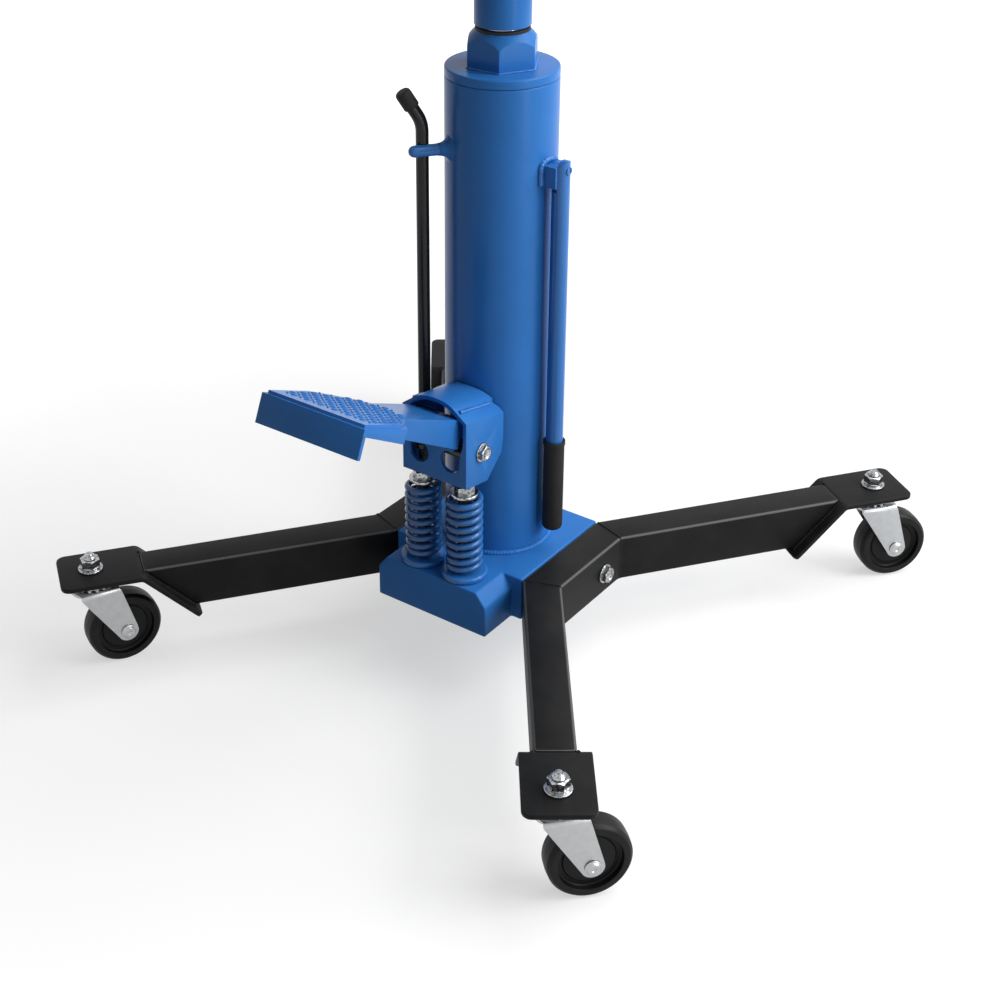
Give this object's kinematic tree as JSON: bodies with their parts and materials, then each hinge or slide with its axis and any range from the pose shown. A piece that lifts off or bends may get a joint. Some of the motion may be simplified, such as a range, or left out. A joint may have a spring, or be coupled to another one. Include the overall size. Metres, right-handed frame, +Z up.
{
  "type": "hydraulic jack",
  "caption": "Foot-pumped vertical hydraulic jack with telescopic rams, swivel saddle, release rod and a caster base with folded tube legs.",
  "frame": {"origin": "on the floor, under the axis of the column", "axes": "+Z up along the column; -Y towards the foot pedal; +X towards the handle side"},
  "size_m": [0.6322, 0.6969, 0.6955],
  "materials": {
    "blue_enamel": "glossy blue enamel",
    "black_powder_coat": "satin black powder coat",
    "zinc_plate": "bright zinc plate",
    "bright_steel": "machined steel",
    "hard_chrome": "ground hard chrome",
    "black_rubber": "matte black rubber",
    "wheel_plastic": "moulded black nylon"
  },
  "bodies": {
    "stand": {"base_casting": "blue_enamel", "filler_plug": "zinc_plate", "column_tube": "blue_enamel", "column_head": "blue_enamel", "pressure_cylinder": "bright_steel", "gland_nut": "blue_enamel", "leg_frame_right": "black_powder_coat", "leg_bolt_right": "zinc_plate", "pump_barrel_right": "blue_enamel", "leg_frame_left": "black_powder_coat", "leg_bolt_left": "zinc_plate", "pump_barrel_left": "blue_enamel", "caster_plate_front_right": "black_powder_coat", "caster_stem_front_right": "zinc_plate", "caster_plate_rear_right": "black_powder_coat", "caster_stem_rear_right": "zinc_plate", "caster_plate_front_left": "black_powder_coat", "caster_stem_front_left": "zinc_plate", "caster_plate_rear_left": "black_powder_coat", "caster_stem_rear_left": "zinc_plate", "pivot_lug": "blue_enamel", "pivot_bolt": "zinc_plate", "release_rod_guide": "blue_enamel", "handle_lug": "blue_enamel", "handle_pin": "blue_enamel"},
    "ram_1": {"ram_1_tube": "hard_chrome", "ram_1_collar": "blue_enamel", "ram_1_piston": "bright_steel"},
    "ram_2": {"ram_2_rod": "hard_chrome", "ram_2_piston": "bright_steel"},
    "saddle_head": {"saddle": "black_powder_coat", "saddle_pad": "black_rubber"},
    "pedal_lever": {"rocker": "blue_enamel", "pedal": "blue_enamel", "push_pin": "zinc_plate"},
    "plunger_right": {"pump_plunger_right": "zinc_plate", "return_spring_right": "blue_enamel"},
    "plunger_left": {"pump_plunger_left": "zinc_plate", "return_spring_left": "blue_enamel"},
    "release": {"release_valve": "zinc_plate", "release_rod": "black_powder_coat", "release_rod_cap": "black_rubber"},
    "handle": {"handle_bar": "blue_enamel", "handle_grip": "black_rubber"},
    "swivel_front_right": {"caster_fork_front_right": "zinc_plate", "caster_axle_front_right": "zinc_plate"},
    "wheel_front_right": {"caster_wheel_front_right": "wheel_plastic"},
    "swivel_rear_right": {"caster_fork_rear_right": "zinc_plate", "caster_axle_rear_right": "zinc_plate"},
    "wheel_rear_right": {"caster_wheel_rear_right": "wheel_plastic"},
    "swivel_front_left": {"caster_fork_front_left": "zinc_plate", "caster_axle_front_left": "zinc_plate"},
    "wheel_front_left": {"caster_wheel_front_left": "wheel_plastic"},
    "swivel_rear_left": {"caster_fork_rear_left": "zinc_plate", "caster_axle_rear_left": "zinc_plate"},
    "wheel_rear_left": {"caster_wheel_rear_left": "wheel_plastic"}
  },
  "joints": [
    {"name": "ram_1_slide", "type": "slide", "parent": "stand", "child": "ram_1", "axis": [0, 0, 1], "range_m": [0, 0.4]},
    {"name": "ram_2_slide", "type": "slide", "parent": "ram_1", "child": "ram_2", "axis": [0, 0, 1], "range_m": [0, 0.4]},
    {"name": "saddle_swivel", "type": "hinge", "parent": "ram_2", "child": "saddle_head", "pos_m": [0, 0, 0.6739], "axis": [0, 0, 1], "continuous": true},
    {"name": "pedal_hinge", "type": "hinge", "parent": "stand", "child": "pedal_lever", "pos_m": [0, -0.08, 0.2425], "axis": [1, 0, 0], "range_deg": [0, 11], "stiffness_Nm_per_rad": 40, "springref_deg": -8.59},
    {"name": "plunger_right_slide", "type": "slide", "parent": "stand", "child": "plunger_right", "axis": [0, 0, -1], "range_m": [0, 0.0027], "deforming": ["return_spring_right"]},
    {"name": "plunger_left_slide", "type": "slide", "parent": "stand", "child": "plunger_left", "axis": [0, 0, -1], "range_m": [0, 0.0027], "deforming": ["return_spring_left"]},
    {"name": "release_turn", "type": "hinge", "parent": "stand", "child": "release", "pos_m": [-0.046, -0.0586, 0.1088], "axis": [0, 0, 1], "range_deg": [0, 150]},
    {"name": "handle_hinge", "type": "hinge", "parent": "stand", "child": "handle", "pos_m": [0.0655, 0, 0.505], "axis": [1, 0, 0], "range_deg": [-35, 90]},
    {"name": "swivel_front_right_turn", "type": "hinge", "parent": "stand", "child": "swivel_front_right", "pos_m": [0.2715, -0.299, 0.1], "axis": [0, 0, 1], "continuous": true},
    {"name": "wheel_front_right_spin", "type": "hinge", "parent": "swivel_front_right", "child": "wheel_front_right", "pos_m": [0.28882, -0.27908, 0.0375], "axis": [-0.7547, 0.6561, 0], "continuous": true},
    {"name": "swivel_rear_right_turn", "type": "hinge", "parent": "stand", "child": "swivel_rear_right", "pos_m": [0.2715, 0.299, 0.1], "axis": [0, 0, 1], "continuous": true},
    {"name": "wheel_rear_right_spin", "type": "hinge", "parent": "swivel_rear_right", "child": "wheel_rear_right", "pos_m": [0.28847, 0.31922, 0.0375], "axis": [-0.766, 0.6428, 0], "continuous": true},
    {"name": "swivel_front_left_turn", "type": "hinge", "parent": "stand", "child": "swivel_front_left", "pos_m": [-0.2715, -0.299, 0.1], "axis": [0, 0, 1], "continuous": true},
    {"name": "wheel_front_left_spin", "type": "hinge", "parent": "swivel_front_left", "child": "wheel_front_left", "pos_m": [-0.26076, -0.27488, 0.0375], "axis": [-0.9135, 0.4067, 0], "continuous": true},
    {"name": "swivel_rear_left_turn", "type": "hinge", "parent": "stand", "child": "swivel_rear_left", "pos_m": [-0.2715, 0.299, 0.1], "axis": [0, 0, 1], "continuous": true},
    {"name": "wheel_rear_left_spin", "type": "hinge", "parent": "swivel_rear_left", "child": "wheel_rear_left", "pos_m": [-0.25712, 0.32114, 0.0375], "axis": [-0.8387, 0.5446, 0], "continuous": true}
  ],
  "couplings": [
    {"joint": "plunger_right_slide", "follows": "pedal_hinge", "m_per_rad": 0.0136},
    {"joint": "plunger_left_slide", "follows": "pedal_hinge", "m_per_rad": 0.0136}
  ]
}
